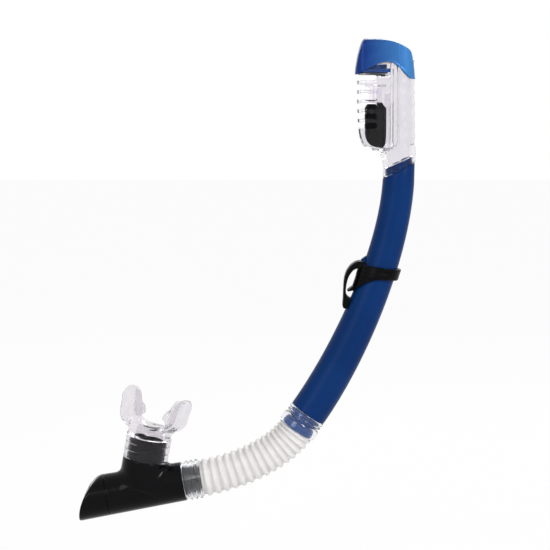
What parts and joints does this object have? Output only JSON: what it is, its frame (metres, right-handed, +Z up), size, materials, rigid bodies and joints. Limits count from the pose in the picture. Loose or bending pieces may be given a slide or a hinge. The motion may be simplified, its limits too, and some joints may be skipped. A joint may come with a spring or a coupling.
{
  "type": "snorkel",
  "caption": "Dry-top snorkel: blue curved barrel, slatted clear float valve, ribbed drop hose, purge chamber and swivelling bite mouthpiece with a strap keeper.",
  "frame": {"origin": "middle of the keeper's strap slot, where the mask strap carries the snorkel", "axes": "+Z up along the standing barrel; +X from the slatted front of the dry top to its rear, away from the mouthpiece end; +Y across the tube, along the strap slot"},
  "size_m": [0.3006, 0.0548, 0.4339],
  "materials": {
    "blue_plastic": "satin translucent blue moulding with a soft sheen",
    "cap_plastic": "glossy pearl blue moulding",
    "black_plastic": "smooth satin black moulding",
    "chamber_plastic": "polished black moulding",
    "clear_plastic": "polished clear plastic",
    "milky_silicone": "milky translucent silicone",
    "clear_silicone": "clear silicone with a soft sheen",
    "black_rubber": "soft matt black rubber",
    "black_float": "matt black closed-cell foam"
  },
  "bodies": {
    "tube": {"barrel": "blue_plastic", "duct_housing": "clear_plastic", "float_cage": "clear_plastic", "valve_seat": "cap_plastic", "seat_gasket": "black_rubber", "top_cap": "cap_plastic", "upper_collar": "clear_plastic", "flex_hose": "milky_silicone"},
    "strap_keeper": {"keeper": "black_plastic"},
    "float_unit": {"float": "black_float", "float_stem": "clear_plastic", "seal_pad": "clear_silicone"},
    "lower_unit": {"lower_collar": "clear_plastic", "chamber": "chamber_plastic", "purge_seat": "chamber_plastic", "purge_cover": "chamber_plastic"},
    "bite_piece": {"mouthpiece": "clear_silicone"},
    "purge_disc": {"purge_valve": "clear_silicone"}
  },
  "joints": [
    {"name": "keeper_swivel", "type": "hinge", "parent": "tube", "child": "strap_keeper", "pos_m": [0.02354, 0, 0.0029], "axis": [0.321, 0, 0.9471], "range_deg": [-22, 22]},
    {"name": "float_slide", "type": "slide", "parent": "tube", "child": "float_unit", "axis": [0, 0, 1], "range_m": [0, 0.008]},
    {"name": "hose_flex", "type": "hinge", "parent": "tube", "child": "lower_unit", "pos_m": [-0.08308, 0, -0.16476], "axis": [0, -1, 0], "range_deg": [-20, 45], "stiffness_Nm_per_rad": 0.6, "springref_deg": -6.88, "deforming": ["flex_hose"]},
    {"name": "mouthpiece_swivel", "type": "hinge", "parent": "lower_unit", "child": "bite_piece", "pos_m": [-0.1853, 0, -0.16509], "axis": [0.1736, 0, 0.9848], "range_deg": [-40, 40]},
    {"name": "purge_lift", "type": "slide", "parent": "lower_unit", "child": "purge_disc", "axis": [-0.9848, 0, -0.1736], "range_m": [0, 0.0015], "stiffness_N_per_m": 40}
  ]
}
